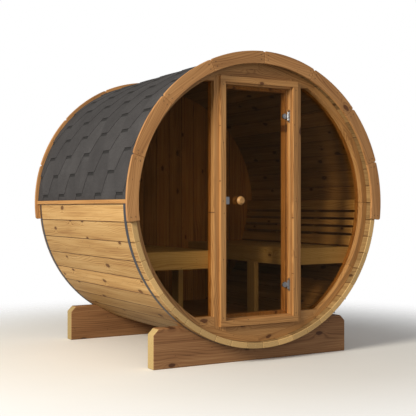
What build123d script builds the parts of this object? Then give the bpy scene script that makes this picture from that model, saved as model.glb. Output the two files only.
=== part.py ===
from build123d import *
import math
import os

# Barrel sauna: a hollow barrel of staves lying on two cradles, with a glazed front wall
# recessed in its mouth, a hinged glass door and two benches inside.
# Millimetres. X runs across the front, Y from front to back, Z up.
# The origin is on the ground, under the middle of the barrel.

# ---- overall sizes ----
BARREL_LENGTH = 1730          # length of the staves
STAVE_OUTER_R = 998           # radius over the staves
STAVE_T = 40                  # thickness of a stave
BARREL_CLEARANCE = 94         # from the ground to the lowest stave
STAVES_PER_SEGMENT = 8        # staves that make one segment of the barrel
SEGMENTS = 6                  # segments round the barrel

# ---- roof and arches ----
ARCH_OVERHANG = 32            # how far an arch stands out over the staves
ARCH_LAP = 13                 # how far an arch shows inside the staves
ARCH_T = 20
ARCH_BOARDS = 8               # boards in one arch
ARCH_BOARD_ANGLE = 24.3       # degrees that one board covers
ARCH_JOINT_GAP = 1.0
ARCH_CORNER_R = 16
ROOF_T = 12
ROOF_EDGE_ANGLE = 89          # degrees from the top down to the lower edge of the roof
LATH_T = 18
LATH_H = 26

# ---- hoops ----
HOOP_T = 2
HOOP_W = 36
FRONT_HOOP_SETBACK = 64       # from the front end of the staves to the front hoop
REAR_HOOP_SETBACK = 19        # from the rear end of the staves to the rear hoop
LUG_REACH = 46                # how far a hoop lug stands off the staves
LUG_T = 6
LUG_ANGLE = 136.5             # degrees from the top to the middle of the lug pair
LUG_SPREAD = 7.5              # degrees between the two lugs
HOOP_BOLT_R = 5
HOOP_BOLT_LENGTH = 190
HOOP_NUT_R = 9
HOOP_NUT_T = 8

# ---- cradles ----
CRADLE_LENGTH = 1572
CRADLE_H = 265
CRADLE_T = 86
CRADLE_CHAMFER = 40
FRONT_CRADLE_SETBACK = 100    # from the front end of the staves to the front cradle
REAR_CRADLE_SETBACK = 66      # from the rear end of the staves to the rear cradle

# ---- front wall ----
WALL_RECESS = 55              # from the ends of the staves to the wall's face
FRONT_WALL_T = 85
RING_W = 44                   # width of the ring's face
POST_INNER_X = 264            # half the width between the posts
POST_W = 92
WINDOW_TOP_DROP = 101         # from the ring's inner edge, at the top, down to the panes
WINDOW_BOTTOM_RISE = 147      # from the ring's inner edge, at the bottom, up to the panes
GLASS_SETBACK = 45            # from the wall's face to the fixed panes
PANE_T = 6
GROOVE_DEPTH = 10             # how far a pane goes into the wood

# ---- door frame ----
HEAD_DROP = 117               # from the ring's inner edge down to the head lining's underside
SILL_RISE = 129               # from the ring's inner edge up to the sill lining's top
HEAD_LINING_H = 40
TRIM_W = 41
TRIM_PROUD = 24               # how far the trim stands out of the wall's face
TRIM_STEP = 12                # how far the lining shows inside the trim
STOP_W = 24
STOP_SETBACK = 35             # from the wall's face to the stop

# ---- door leaf ----
DOOR_T = 8
DOOR_STOP_GAP = 5
DOOR_HEAD_GAP = 6
DOOR_SILL_GAP = 6
DOOR_CATCH_GAP = 8            # between the glass edge and the left post
DOOR_HINGE_GAP = 18           # between the glass edge and the right post
KNOB_R = 29
KNOB_LENGTH = 50
KNOB_NECK_R = 13
KNOB_X_FROM_EDGE = 105        # from the free edge of the glass to the knob
KNOB_HEIGHT = 11              # from the barrel's axis
CATCH_W = 32
CATCH_H = 50
CATCH_T = 2
MAGNET_H = 40
MAGNET_W = 16
MAGNET_PROUD = 1.5

# ---- hinges ----
UPPER_HINGE_DROP = 185        # from the top of the glass down to the upper hinge
LOWER_HINGE_RISE = 200        # from the bottom of the glass up to the lower hinge
HINGE_PLATE_H = 88
HINGE_PLATE_T = 3
HINGE_PLATE_W = 22
HINGE_AXIS_TO_POST = 9        # from the pin's middle to the right post
HINGE_AXIS_TO_GLASS = 9       # from the pin's middle back to the glass face
KNUCKLE_R = 5.5
KNUCKLE_H = 15
KNUCKLE_GAP = 0.5
KNUCKLE_WEB_T = 6
PIN_R = 3
PIN_CLEARANCE = 0.3
CLAMP_R = 19
CLAMP_T = 6
CLAMP_BACK_T = 3
CLAMP_INSET = 14              # from the glass edge to the middle of the clamp
CLAMP_ARM_T = 6
CLAMP_ARM_H = 20

# ---- inside ----
REAR_WALL_T = 40
FLOOR_T = 25
BENCH_INNER_X = 305
SEAT_HEIGHT = 508             # from the floor to the top of the seat
SEAT_EDGE_GAP = 4.6           # from the staves to the outermost seat board
BENCH_BOARD_T = 28
BENCH_BOARD_H = 120
SEAT_BOARDS = 5
SEAT_GAP = 8
BEARER_H = 40
BEARER_W = 45
LEG_W = 100
LEG_T = 40
BACKREST_SETBACK = 53         # from the staves' inner face to the face leant on
BACKREST_SLAT_T = 22
BACKREST_RISE = 8             # from the seat to the lowest slat
BACKREST_BOARDS = (81, 49, 47, 47, 85)
BACKREST_GAP = 10
BATTEN_W = 40

# ---- places worked out from the sizes above ----
# Heights here are measured from the barrel's axis.
AXIS_Z = BARREL_CLEARANCE + STAVE_OUTER_R
STAVE_INNER_R = STAVE_OUTER_R - STAVE_T
ARCH_OUTER_R = STAVE_OUTER_R + ARCH_OVERHANG
ARCH_INNER_R = STAVE_INNER_R - ARCH_LAP
STAVE_FRONT = -BARREL_LENGTH / 2
STAVE_BACK = BARREL_LENGTH / 2
ROOF_INNER_R = STAVE_OUTER_R + HOOP_T
WALL_FACE = STAVE_FRONT + WALL_RECESS
WALL_BACK = WALL_FACE + FRONT_WALL_T
RING_INNER_R = STAVE_INNER_R - RING_W
WINDOW_TOP = RING_INNER_R - WINDOW_TOP_DROP
WINDOW_BOTTOM = -RING_INNER_R + WINDOW_BOTTOM_RISE
LINING_TOP = RING_INNER_R - HEAD_DROP
LINING_BOTTOM = -RING_INNER_R + SILL_RISE
POST_OUTER_X = POST_INNER_X + POST_W
PANE_FACE = WALL_FACE + GLASS_SETBACK
TRIM_FACE = WALL_FACE - TRIM_PROUD
TRIM_INNER_X = POST_INNER_X + TRIM_STEP
TRIM_OUTER_X = TRIM_INNER_X + TRIM_W
TRIM_TOP_INNER = LINING_TOP + TRIM_STEP
TRIM_BOTTOM_INNER = LINING_BOTTOM - TRIM_STEP
FLOOR_TOP = TRIM_BOTTOM_INNER - TRIM_W
STOP_FACE = WALL_FACE + STOP_SETBACK
DOOR_BACK = STOP_FACE - DOOR_STOP_GAP
DOOR_FACE = DOOR_BACK - DOOR_T
DOOR_LEFT = -POST_INNER_X + DOOR_CATCH_GAP
DOOR_RIGHT = POST_INNER_X - DOOR_HINGE_GAP
DOOR_TOP = LINING_TOP - DOOR_HEAD_GAP
DOOR_BOTTOM = LINING_BOTTOM + DOOR_SILL_GAP
HINGE_X = POST_INNER_X - HINGE_AXIS_TO_POST
HINGE_Y = DOOR_FACE - HINGE_AXIS_TO_GLASS
HINGE_HEIGHTS = (DOOR_TOP - UPPER_HINGE_DROP, DOOR_BOTTOM + LOWER_HINGE_RISE)
REAR_WALL_BACK = STAVE_BACK - WALL_RECESS
REAR_WALL_FACE = REAR_WALL_BACK - REAR_WALL_T
ROOM_LENGTH = REAR_WALL_FACE - WALL_BACK
BENCH_TOP = FLOOR_TOP + SEAT_HEIGHT
BENCH_OUTER_X = math.sqrt(STAVE_INNER_R**2 - (BENCH_TOP - BENCH_BOARD_T) ** 2) - SEAT_EDGE_GAP
BACKREST_INNER_R = STAVE_INNER_R - BACKREST_SETBACK
BACKREST_BOTTOM = BENCH_TOP + BACKREST_RISE
LEG_PLACES = (WALL_BACK + ROOM_LENGTH / 3, WALL_BACK + ROOM_LENGTH * 2 / 3)

os.makedirs("parts", exist_ok=True)


def point_at(radius, angle):
    """A point across the barrel, by radius and by degrees clockwise from the top."""
    turn = math.radians(angle)
    return (radius * math.sin(turn), radius * math.cos(turn))


def ring_piece(inner, outer, start, end):
    """The outline of a piece of a ring between two angles."""
    middle = (start + end) / 2
    outline = ThreePointArc(point_at(outer, start), point_at(outer, middle), point_at(outer, end))
    outline += Line(point_at(outer, end), point_at(inner, end))
    outline += ThreePointArc(point_at(inner, end), point_at(inner, middle), point_at(inner, start))
    outline += Line(point_at(inner, start), point_at(outer, start))
    return make_face(outline)


def along(outline, front, back):
    """An outline drawn across the barrel, about its axis, made solid from front to back."""
    across = Plane(origin=(0, front, AXIS_Z), x_dir=(1, 0, 0), z_dir=(0, -1, 0))
    return extrude(across * outline, amount=-(back - front))


def block(x0, x1, y0, y1, z0, z1):
    """A box between two corners, with its heights measured from the barrel's axis."""
    middle = ((x0 + x1) / 2, (y0 + y1) / 2, AXIS_Z + (z0 + z1) / 2)
    return Pos(*middle) * Box(abs(x1 - x0), abs(y1 - y0), abs(z1 - z0))


def round_bar(radius, front, back):
    """A cylinder on the barrel's axis."""
    return along(Circle(radius), front, back)


def mirrored(shape):
    """The same piece on the other side of the barrel."""
    return mirror(shape, about=Plane.YZ)


def save(name, *solids):
    """Writes one node, which holds one solid or several that don't touch."""
    pieces = []
    for solid in solids:
        pieces.extend(solid.solids())
    shape = pieces[0] if len(pieces) == 1 else Compound(children=pieces)
    export_step(shape, f"parts/{name}.step")


# ---- cradles ----
def cradle(front):
    """A beam with chamfered ends and a saddle cut to the barrel."""
    half = CRADLE_LENGTH / 2
    ground = -AXIS_Z
    top = ground + CRADLE_H
    outline = Polyline(
        (-half, ground),
        (half, ground),
        (half, top - CRADLE_CHAMFER),
        (half - CRADLE_CHAMFER, top),
        (-half + CRADLE_CHAMFER, top),
        (-half, top - CRADLE_CHAMFER),
        close=True,
    )
    beam = along(make_face(outline), front, front + CRADLE_T)
    return beam - round_bar(STAVE_OUTER_R, front - 1, front + CRADLE_T + 1)


save("cradle_front", cradle(STAVE_FRONT + FRONT_CRADLE_SETBACK))
save("cradle_rear", cradle(STAVE_BACK - REAR_CRADLE_SETBACK - CRADLE_T))

# ---- barrel ----
segment_angle = 360 / SEGMENTS
for number in range(SEGMENTS):
    start = (number - 0.5) * segment_angle
    outline = ring_piece(STAVE_INNER_R, STAVE_OUTER_R, start, start + segment_angle)
    save(f"barrel_{number + 1}", along(outline, STAVE_FRONT, STAVE_BACK))


# ---- hoops ----
def across_piece(angle, radius, width, height, depth, y):
    """A block that stands across the barrel's skin at an angle, with its foot at a radius."""
    x, z = point_at(radius + height / 2, angle)
    return Pos(x, y, AXIS_Z + z) * Rot(0, angle, 0) * Box(width, depth, height)


def hoop(front):
    """A flat steel band with two lugs for the bolt that tightens it."""
    middle = front + HOOP_W / 2
    band = along(Circle(STAVE_OUTER_R + HOOP_T) - Circle(STAVE_OUTER_R), front, front + HOOP_W)
    for side in (-1, 1):
        angle = LUG_ANGLE + side * LUG_SPREAD / 2
        lug = across_piece(angle, STAVE_OUTER_R + HOOP_T / 2, LUG_T, LUG_REACH, HOOP_W, middle)
        band += lug
    return band - hoop_bolt(front)


def hoop_bolt(front):
    """The bolt through the lugs, with a nut outside each lug."""
    reach = STAVE_OUTER_R + LUG_REACH * 0.62
    x, z = point_at(reach, LUG_ANGLE)
    lug_face = reach * math.sin(math.radians(LUG_SPREAD / 2)) + LUG_T
    rod = Cylinder(HOOP_BOLT_R, HOOP_BOLT_LENGTH, rotation=(0, 90, 0))
    for side in (-1, 1):
        rod += Pos(side * (lug_face + HOOP_NUT_T / 2), 0, 0) * Rot(0, 90, 0) * Cylinder(
            HOOP_NUT_R, HOOP_NUT_T
        )
    return Pos(x, front + HOOP_W / 2, AXIS_Z + z) * Rot(0, LUG_ANGLE, 0) * rod


front_hoop = STAVE_FRONT + FRONT_HOOP_SETBACK
rear_hoop = STAVE_BACK - REAR_HOOP_SETBACK - HOOP_W
save("hoop_front", hoop(front_hoop))
save("hoop_rear", hoop(rear_hoop))
save("hoop_bolts", hoop_bolt(front_hoop), hoop_bolt(rear_hoop))


# ---- arches over the ends of the barrel ----
def arch(front):
    """A row of curved boards with rounded outer corners."""
    boards = []
    half_gap = math.degrees(ARCH_JOINT_GAP / 2 / ARCH_OUTER_R)
    first = -ARCH_BOARDS / 2 * ARCH_BOARD_ANGLE
    for number in range(ARCH_BOARDS):
        start = first + number * ARCH_BOARD_ANGLE + half_gap
        end = start + ARCH_BOARD_ANGLE - 2 * half_gap
        outline = ring_piece(ARCH_INNER_R, ARCH_OUTER_R, start, end)
        middle = (ARCH_INNER_R + ARCH_OUTER_R) / 2
        outer_corners = [v for v in outline.vertices() if Vector(v.X, v.Y).length > middle]
        outline = fillet(outer_corners, ARCH_CORNER_R)
        boards.append(along(outline, front, front + ARCH_T))
    return boards


save("arch_front", *arch(STAVE_FRONT - ARCH_T))
save("arch_rear", *arch(STAVE_BACK))

# ---- roof and its laths ----
roof_outer = ROOF_INNER_R + ROOF_T
lath_top = ROOF_INNER_R * math.cos(math.radians(ROOF_EDGE_ANGLE)) - 2
roof_right = along(
    ring_piece(ROOF_INNER_R, roof_outer, 0, ROOF_EDGE_ANGLE), STAVE_FRONT, STAVE_BACK
)
save("roof_right", roof_right)
save("roof_left", mirrored(roof_right))
lath = block(
    ROOF_INNER_R - 10, ROOF_INNER_R + LATH_T, STAVE_FRONT, STAVE_BACK, lath_top - LATH_H, lath_top
)
lath -= round_bar(ROOF_INNER_R, STAVE_FRONT - 1, STAVE_BACK + 1)
save("roof_laths", lath, mirrored(lath))

# ---- front wall ----
pane_outline = Circle(RING_INNER_R + GROOVE_DEPTH)
pane_middle = (WINDOW_TOP + WINDOW_BOTTOM) / 2
pane_height = WINDOW_TOP - WINDOW_BOTTOM + 2 * GROOVE_DEPTH
pane_inner_x = POST_OUTER_X - GROOVE_DEPTH
pane_cut = Pos((pane_inner_x + ARCH_OUTER_R) / 2, pane_middle) * Rectangle(
    ARCH_OUTER_R - pane_inner_x, pane_height
)
window_right = along(pane_outline & pane_cut, PANE_FACE, PANE_FACE + PANE_T)
window_left = mirrored(window_right)
save("window_right", window_right)
save("window_left", window_left)

ring = along(ring_piece(RING_INNER_R, STAVE_INNER_R, 0, 180), WALL_FACE, WALL_BACK)
ring_right = ring - window_right
save("front_ring_right", ring_right)
save("front_ring_left", mirrored(ring_right))

inside_ring = round_bar(RING_INNER_R, WALL_FACE, WALL_BACK)
post = block(POST_INNER_X, POST_OUTER_X, WALL_FACE, WALL_BACK, -RING_INNER_R, RING_INNER_R)
post_right = (post & inside_ring) - window_right
save("post_right", post_right)
save("post_left", mirrored(post_right))

head_lining_top = LINING_TOP + HEAD_LINING_H
upper = block(
    -POST_INNER_X, POST_INNER_X, WALL_FACE, WALL_BACK, head_lining_top, RING_INNER_R
)
lower = block(-POST_INNER_X, POST_INNER_X, WALL_FACE, WALL_BACK, -RING_INNER_R, FLOOR_TOP)
save("upper_panel", upper & inside_ring)
save("lower_panel", lower & inside_ring)

corner_pieces = []
for low, high in ((WINDOW_TOP, RING_INNER_R), (-RING_INNER_R, WINDOW_BOTTOM)):
    corner = block(POST_OUTER_X, RING_INNER_R, WALL_FACE, WALL_BACK, low, high)
    corner = (corner & inside_ring) - window_right
    corner_pieces += [corner, mirrored(corner)]
save("corner_panels", *corner_pieces)

# ---- door frame ----
head = block(
    -TRIM_OUTER_X, TRIM_OUTER_X, TRIM_FACE, WALL_FACE, TRIM_TOP_INNER, TRIM_TOP_INNER + TRIM_W
)
head += block(-POST_INNER_X, POST_INNER_X, WALL_FACE, WALL_BACK, LINING_TOP, head_lining_top)
save("door_head", head)

sill = block(
    -TRIM_OUTER_X, TRIM_OUTER_X, TRIM_FACE, WALL_FACE, TRIM_BOTTOM_INNER - TRIM_W, TRIM_BOTTOM_INNER
)
sill += block(-POST_INNER_X, POST_INNER_X, WALL_FACE, WALL_BACK, FLOOR_TOP, LINING_BOTTOM)
save("door_sill", sill)

side_trim = block(
    TRIM_INNER_X, TRIM_OUTER_X, TRIM_FACE, WALL_FACE, TRIM_BOTTOM_INNER, TRIM_TOP_INNER
)
save("door_side_trims", side_trim, mirrored(side_trim))

stop = block(-POST_INNER_X, POST_INNER_X, STOP_FACE, WALL_BACK, LINING_BOTTOM, LINING_TOP)
stop -= block(
    -POST_INNER_X + STOP_W,
    POST_INNER_X - STOP_W,
    STOP_FACE - 1,
    WALL_BACK + 1,
    LINING_BOTTOM + STOP_W,
    LINING_TOP - STOP_W,
)
magnet = block(
    -POST_INNER_X + STOP_W - MAGNET_W,
    -POST_INNER_X + STOP_W,
    STOP_FACE - MAGNET_PROUD,
    STOP_FACE + MAGNET_W,
    KNOB_HEIGHT - MAGNET_H / 2,
    KNOB_HEIGHT + MAGNET_H / 2,
)
save("door_stop", stop - magnet)
save("catch_magnet", magnet)

# ---- door leaf ----
leaf = block(DOOR_LEFT, DOOR_RIGHT, DOOR_FACE, DOOR_BACK, DOOR_BOTTOM, DOOR_TOP)
save("door_glass", leaf)


def knob(toward):
    """A turned wooden knob that stands on the glass and points one way along Y."""
    neck = KNOB_LENGTH - KNOB_R * 1.1
    waist = (KNOB_NECK_R, neck)
    belly = (KNOB_R, neck + KNOB_R * 0.55)
    nose = (0, KNOB_LENGTH)
    shoulder = (KNOB_R * 0.72, KNOB_LENGTH - KNOB_R * 0.12)
    outline = Line((0, 0), (KNOB_NECK_R, 0)) + Line((KNOB_NECK_R, 0), waist)
    outline += Spline(waist, belly, shoulder, nose, tangents=((1, 0.15), (-1, 0)))
    outline += Line(nose, (0, 0))
    turned = revolve(make_face(outline), axis=Axis.Y)
    return turned if toward > 0 else Rot(180, 0, 0) * turned


knob_x = DOOR_LEFT + KNOB_X_FROM_EDGE
outer_knob = Pos(knob_x, DOOR_FACE, AXIS_Z + KNOB_HEIGHT) * knob(-1)
inner_knob = Pos(knob_x, DOOR_BACK, AXIS_Z + KNOB_HEIGHT) * knob(1)
save("door_knobs", outer_knob, inner_knob)

catch = block(
    DOOR_LEFT - CATCH_T,
    DOOR_LEFT + CATCH_W,
    DOOR_FACE - CATCH_T,
    DOOR_BACK + CATCH_T,
    KNOB_HEIGHT - CATCH_H / 2,
    KNOB_HEIGHT + CATCH_H / 2,
)
save("catch_plate", catch - leaf)

# ---- hinges ----
hinge_plates = []
hinge_clamps = []
for height in HINGE_HEIGHTS:
    centre = Pos(HINGE_X, HINGE_Y, AXIS_Z + height)
    plate = block(
        POST_INNER_X - HINGE_PLATE_T,
        POST_INNER_X,
        HINGE_Y - HINGE_PLATE_W / 2,
        HINGE_Y + HINGE_PLATE_W / 2,
        height - HINGE_PLATE_H / 2,
        height + HINGE_PLATE_H / 2,
    )
    moving_half = KNUCKLE_H - KNUCKLE_GAP
    fixed_place = KNUCKLE_H * 1.5
    plate -= centre * Cylinder(KNUCKLE_R + KNUCKLE_GAP, 2 * KNUCKLE_H)
    for side in (-1, 1):
        plate += centre * Pos(0, 0, side * fixed_place) * Cylinder(KNUCKLE_R, KNUCKLE_H)
        plate += centre * Pos(HINGE_AXIS_TO_POST / 2, 0, side * fixed_place) * Box(
            HINGE_AXIS_TO_POST, KNUCKLE_WEB_T, KNUCKLE_H
        )
    plate += centre * Cylinder(PIN_R, KNUCKLE_H * 4)
    hinge_plates.append(plate)
    clamp_x = DOOR_RIGHT - CLAMP_INSET
    arm = block(
        clamp_x,
        HINGE_X,
        DOOR_FACE - CLAMP_T - CLAMP_ARM_T + 2,
        DOOR_FACE - CLAMP_T + 2,
        height - CLAMP_ARM_H / 2,
        height + CLAMP_ARM_H / 2,
    )
    disc = Pos(clamp_x, DOOR_FACE - CLAMP_T / 2, AXIS_Z + height) * Cylinder(
        CLAMP_R, CLAMP_T, rotation=(90, 0, 0)
    )
    back_disc = Pos(clamp_x, DOOR_BACK + CLAMP_BACK_T / 2, AXIS_Z + height) * Cylinder(
        CLAMP_R, CLAMP_BACK_T, rotation=(90, 0, 0)
    )
    knuckle = centre * Cylinder(KNUCKLE_R, 2 * moving_half)
    clamp = arm + disc + knuckle
    clamp -= centre * Cylinder(PIN_R + PIN_CLEARANCE, KNUCKLE_H * 4)
    hinge_clamps += [clamp, back_disc]
save("hinge_plates", *hinge_plates)
save("hinge_clamps", *hinge_clamps)

# ---- rear wall and floor ----
save("rear_wall", round_bar(STAVE_INNER_R, REAR_WALL_FACE, REAR_WALL_BACK))
room = round_bar(STAVE_INNER_R, WALL_BACK, REAR_WALL_FACE)
floor = block(
    -STAVE_INNER_R, STAVE_INNER_R, WALL_BACK, REAR_WALL_FACE, FLOOR_TOP - FLOOR_T, FLOOR_TOP
)
save("floor", floor & room)

# ---- benches ----
side_board = block(
    BENCH_INNER_X,
    BENCH_INNER_X + BENCH_BOARD_T,
    WALL_BACK,
    REAR_WALL_FACE,
    BENCH_TOP - BENCH_BOARD_H,
    BENCH_TOP,
)
seat_inner = BENCH_INNER_X + BENCH_BOARD_T
cross_pieces = []
for front in (WALL_BACK, REAR_WALL_FACE - BENCH_BOARD_T):
    end_board = block(
        seat_inner, STAVE_INNER_R, front, front + BENCH_BOARD_T, BENCH_TOP - BENCH_BOARD_H, BENCH_TOP
    )
    cross_pieces.append(end_board & room)
seat_bottom = BENCH_TOP - BENCH_BOARD_T
for middle in LEG_PLACES:
    bearer = block(
        seat_inner,
        STAVE_INNER_R,
        middle - BEARER_W / 2,
        middle + BEARER_W / 2,
        seat_bottom - BEARER_H,
        seat_bottom,
    )
    cross_pieces.append(bearer & room)
legs = []
for middle in LEG_PLACES:
    legs.append(
        block(
            BENCH_INNER_X,
            BENCH_INNER_X + LEG_T,
            middle - LEG_W / 2,
            middle + LEG_W / 2,
            FLOOR_TOP,
            BENCH_TOP - BENCH_BOARD_H,
        )
    )
seat_width = BENCH_OUTER_X - seat_inner
seat_board_w = (seat_width - SEAT_BOARDS * SEAT_GAP) / SEAT_BOARDS
seat = []
for number in range(SEAT_BOARDS):
    inner = seat_inner + SEAT_GAP + number * (seat_board_w + SEAT_GAP)
    seat.append(
        block(
            inner,
            inner + seat_board_w,
            WALL_BACK + BENCH_BOARD_T,
            REAR_WALL_FACE - BENCH_BOARD_T,
            seat_bottom,
            BENCH_TOP,
        )
    )

# ---- backrests ----
slats = []
low = BACKREST_BOTTOM
for board in BACKREST_BOARDS:
    middle = low + board / 2
    tilt = math.degrees(math.asin(middle / BACKREST_INNER_R))
    x = (BACKREST_INNER_R + BACKREST_SLAT_T / 2) * math.cos(math.radians(tilt))
    z = (BACKREST_INNER_R + BACKREST_SLAT_T / 2) * math.sin(math.radians(tilt))
    slat = Box(BACKREST_SLAT_T, ROOM_LENGTH, board)
    place = Pos(x, (WALL_BACK + REAR_WALL_FACE) / 2, AXIS_Z + z) * Rot(0, -tilt, 0)
    slats.append(place * slat)
    low += board + BACKREST_GAP
battens = []
batten_top = math.degrees(math.asin((low - BACKREST_GAP) / BACKREST_INNER_R))
batten_bottom = math.degrees(math.asin(BENCH_TOP / STAVE_INNER_R))
for middle in LEG_PLACES:
    outline = ring_piece(
        BACKREST_INNER_R + BACKREST_SLAT_T, STAVE_INNER_R, 90 - batten_top, 90 - batten_bottom
    )
    batten = along(outline, middle - BATTEN_W / 2, middle + BATTEN_W / 2)
    for slat in slats:
        batten -= slat
    battens.append(batten)

for side, turn in (("right", lambda shape: shape), ("left", mirrored)):
    save(f"bench_{side}_side_board", turn(side_board))
    save(f"bench_{side}_cross_boards", *[turn(piece) for piece in cross_pieces])
    save(f"bench_{side}_legs", *[turn(piece) for piece in legs])
    save(f"bench_{side}_seat", *[turn(piece) for piece in seat])
    save(f"backrest_{side}_slats", *[turn(piece) for piece in slats])
    save(f"backrest_{side}_battens", *[turn(piece) for piece in battens])
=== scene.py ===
# %% [markdown]
# # A barrel sauna
# X runs across the front, Y from the glazed front to the rear wall, Z up, and the ground is at zero.
# Most boards here are worked copies of those solids. The staves, the ring round the front and the
# shingles are made new, and the rear wall and the floor are sawn into boards, because there one plain
# solid stands for many pieces.

# %% Load the frame
import math
import random

import bmesh
import bpy
from mathutils import Matrix, Vector


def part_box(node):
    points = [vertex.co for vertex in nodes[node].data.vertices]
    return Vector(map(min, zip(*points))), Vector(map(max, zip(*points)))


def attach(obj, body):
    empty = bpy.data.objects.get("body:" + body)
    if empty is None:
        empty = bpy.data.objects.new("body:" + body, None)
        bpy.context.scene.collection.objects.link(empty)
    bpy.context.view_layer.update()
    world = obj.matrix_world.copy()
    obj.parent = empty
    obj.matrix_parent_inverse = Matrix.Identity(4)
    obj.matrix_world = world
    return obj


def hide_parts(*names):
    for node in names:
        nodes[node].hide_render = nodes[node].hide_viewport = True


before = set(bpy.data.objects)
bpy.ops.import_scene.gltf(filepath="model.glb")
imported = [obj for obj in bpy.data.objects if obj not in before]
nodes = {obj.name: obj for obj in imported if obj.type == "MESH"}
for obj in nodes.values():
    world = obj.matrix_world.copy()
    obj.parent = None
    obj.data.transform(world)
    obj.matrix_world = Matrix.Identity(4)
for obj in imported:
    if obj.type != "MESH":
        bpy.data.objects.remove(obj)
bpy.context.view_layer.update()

scene = bpy.context.scene
print("solids:", len(nodes))

# %% [markdown]
# ## Sizes
# The solids give every size that they have. The barrel's axis is found from the rear wall, which is
# a full disc: its middle is the axis, and half its width is the radius inside the staves.

# %% Read the sizes from the solids
ACROSS = Vector((1, 0, 0))
BACK = Vector((0, 1, 0))
UP = Vector((0, 0, 1))
WAYS = {"X": ACROSS, "Y": BACK, "Z": UP}

rear_low, rear_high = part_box("rear_wall")
AXIS_Z = (rear_low.z + rear_high.z) / 2
AXIS = Vector((0, 0, AXIS_Z))
STAVE_INNER_R = (rear_high.x - rear_low.x) / 2
STAVE_OUTER_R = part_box("barrel_1")[1].z - AXIS_Z
STAVE_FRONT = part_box("barrel_1")[0].y
STAVE_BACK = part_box("barrel_1")[1].y
ROOF_OUTER_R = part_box("roof_right")[1].z - AXIS_Z
LATH_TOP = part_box("roof_laths")[1].z - AXIS_Z
WALL_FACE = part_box("post_right")[0].y
WALL_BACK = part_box("post_right")[1].y
print("barrel radius", round(STAVE_INNER_R, 3), "to", round(STAVE_OUTER_R, 3))

# %% [markdown]
# ## Small helpers for shader nodes
# A material is a tree of nodes. Writing each node as one short line keeps the trees readable:
# add_node makes a node, sets its options, and fills or links each input by its name or number.

# %% Make nodes in one line each
def add_node(tree, kind, inputs=None, **options):
    node = tree.nodes.new(kind)
    for option, value in options.items():
        setattr(node, option, value)
    for name, value in (inputs or {}).items():
        socket = node.inputs[name]
        if isinstance(value, bpy.types.NodeSocket):
            tree.links.new(value, socket)
        else:
            socket.default_value = value
    return node


def maths(tree, operation, first, second=0.5, clamp=False):
    node = add_node(tree, "ShaderNodeMath", {0: first, 1: second}, operation=operation, use_clamp=clamp)
    return node.outputs[0]


def noise(tree, place, scale, detail=2.0):
    inputs = {"Vector": place, "Scale": scale, "Detail": detail}
    return add_node(tree, "ShaderNodeTexNoise", inputs).outputs["Fac"]


def stretch(tree, place, scale):
    return add_node(tree, "ShaderNodeMapping", {"Vector": place, "Scale": scale}).outputs[0]


def colour_ramp(tree, factor, stops):
    node = add_node(tree, "ShaderNodeValToRGB", {"Fac": factor})
    elements = node.color_ramp.elements
    while len(elements) < len(stops):
        elements.new(0.5)
    for element, (place, colour) in zip(elements, stops):
        element.position = place
        element.color = (*colour, 1)
    return node.outputs["Color"]


def mix_colour(tree, factor, first, second):
    return add_node(tree, "ShaderNodeMix", {0: factor, 6: first, 7: second}, data_type="RGBA").outputs[2]


# %% [markdown]
# ## What every finish needs
# Every finish of the sauna starts from a material with one Principled shader. Then its colour and
# roughness are set, and a bump unless the surface is smooth. Few real surfaces are equally rough all
# over, so the roughness follows values that drive the colour too.

# %% Start a finish, colour it, roughen it and raise it
def start_material(name):
    material = bpy.data.materials.new(name)
    material.use_nodes = True
    tree = material.node_tree
    return material, tree, tree.nodes["Principled BSDF"]


def object_place(tree):
    return tree.nodes.new("ShaderNodeTexCoord").outputs["Object"]


def attribute(tree, name, output="Fac"):
    return add_node(tree, "ShaderNodeAttribute", attribute_name=name).outputs[output]


def vary_tone(tree, colour, spread):
    lightness = maths(tree, "ADD", maths(tree, "MULTIPLY", attribute(tree, "tone"), spread), 1 - spread / 2)
    return add_node(tree, "ShaderNodeHueSaturation", {"Color": colour, "Value": lightness}).outputs["Color"]


def set_colour(tree, shader, colour):
    tree.links.new(colour, shader.inputs["Base Color"])


def set_roughness(tree, shader, value, low, high, most=1.0):
    inputs = {"Value": value, "From Max": most, "To Min": low, "To Max": high}
    node = add_node(tree, "ShaderNodeMapRange", inputs)
    tree.links.new(node.outputs["Result"], shader.inputs["Roughness"])


def set_bump(tree, shader, height, strength, distance):
    node = add_node(tree, "ShaderNodeBump", {"Height": height, "Strength": strength, "Distance": distance})
    tree.links.new(node.outputs["Normal"], shader.inputs["Normal"])


# %% [markdown]
# ## Board figure, one node group for every wood
# Planed softwood shows dark growth lines that run along the board and bend round knots, with fine
# fibres between them. The group works in the board's own place, measured along, across and into it,
# so each board can carry its own stretch of tree. It puts out values only: figure, knot, halo, height.

# %% Noise and knots within a board
def along_board(tree, place, along, across, detail=2.0):
    return noise(tree, stretch(tree, place, (along, across, across)), 1.0, detail)


def knot_cells(tree, place, along, across, share):
    inputs = {"Vector": stretch(tree, place, (along, across, 0)), "Scale": 1.0}
    cells = add_node(tree, "ShaderNodeTexVoronoi", inputs, voronoi_dimensions="2D")
    chance = add_node(tree, "ShaderNodeSeparateColor", {"Color": cells.outputs["Color"]}).outputs[0]
    return cells.outputs["Distance"], chance, maths(tree, "GREATER_THAN", chance, 1 - share)


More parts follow.
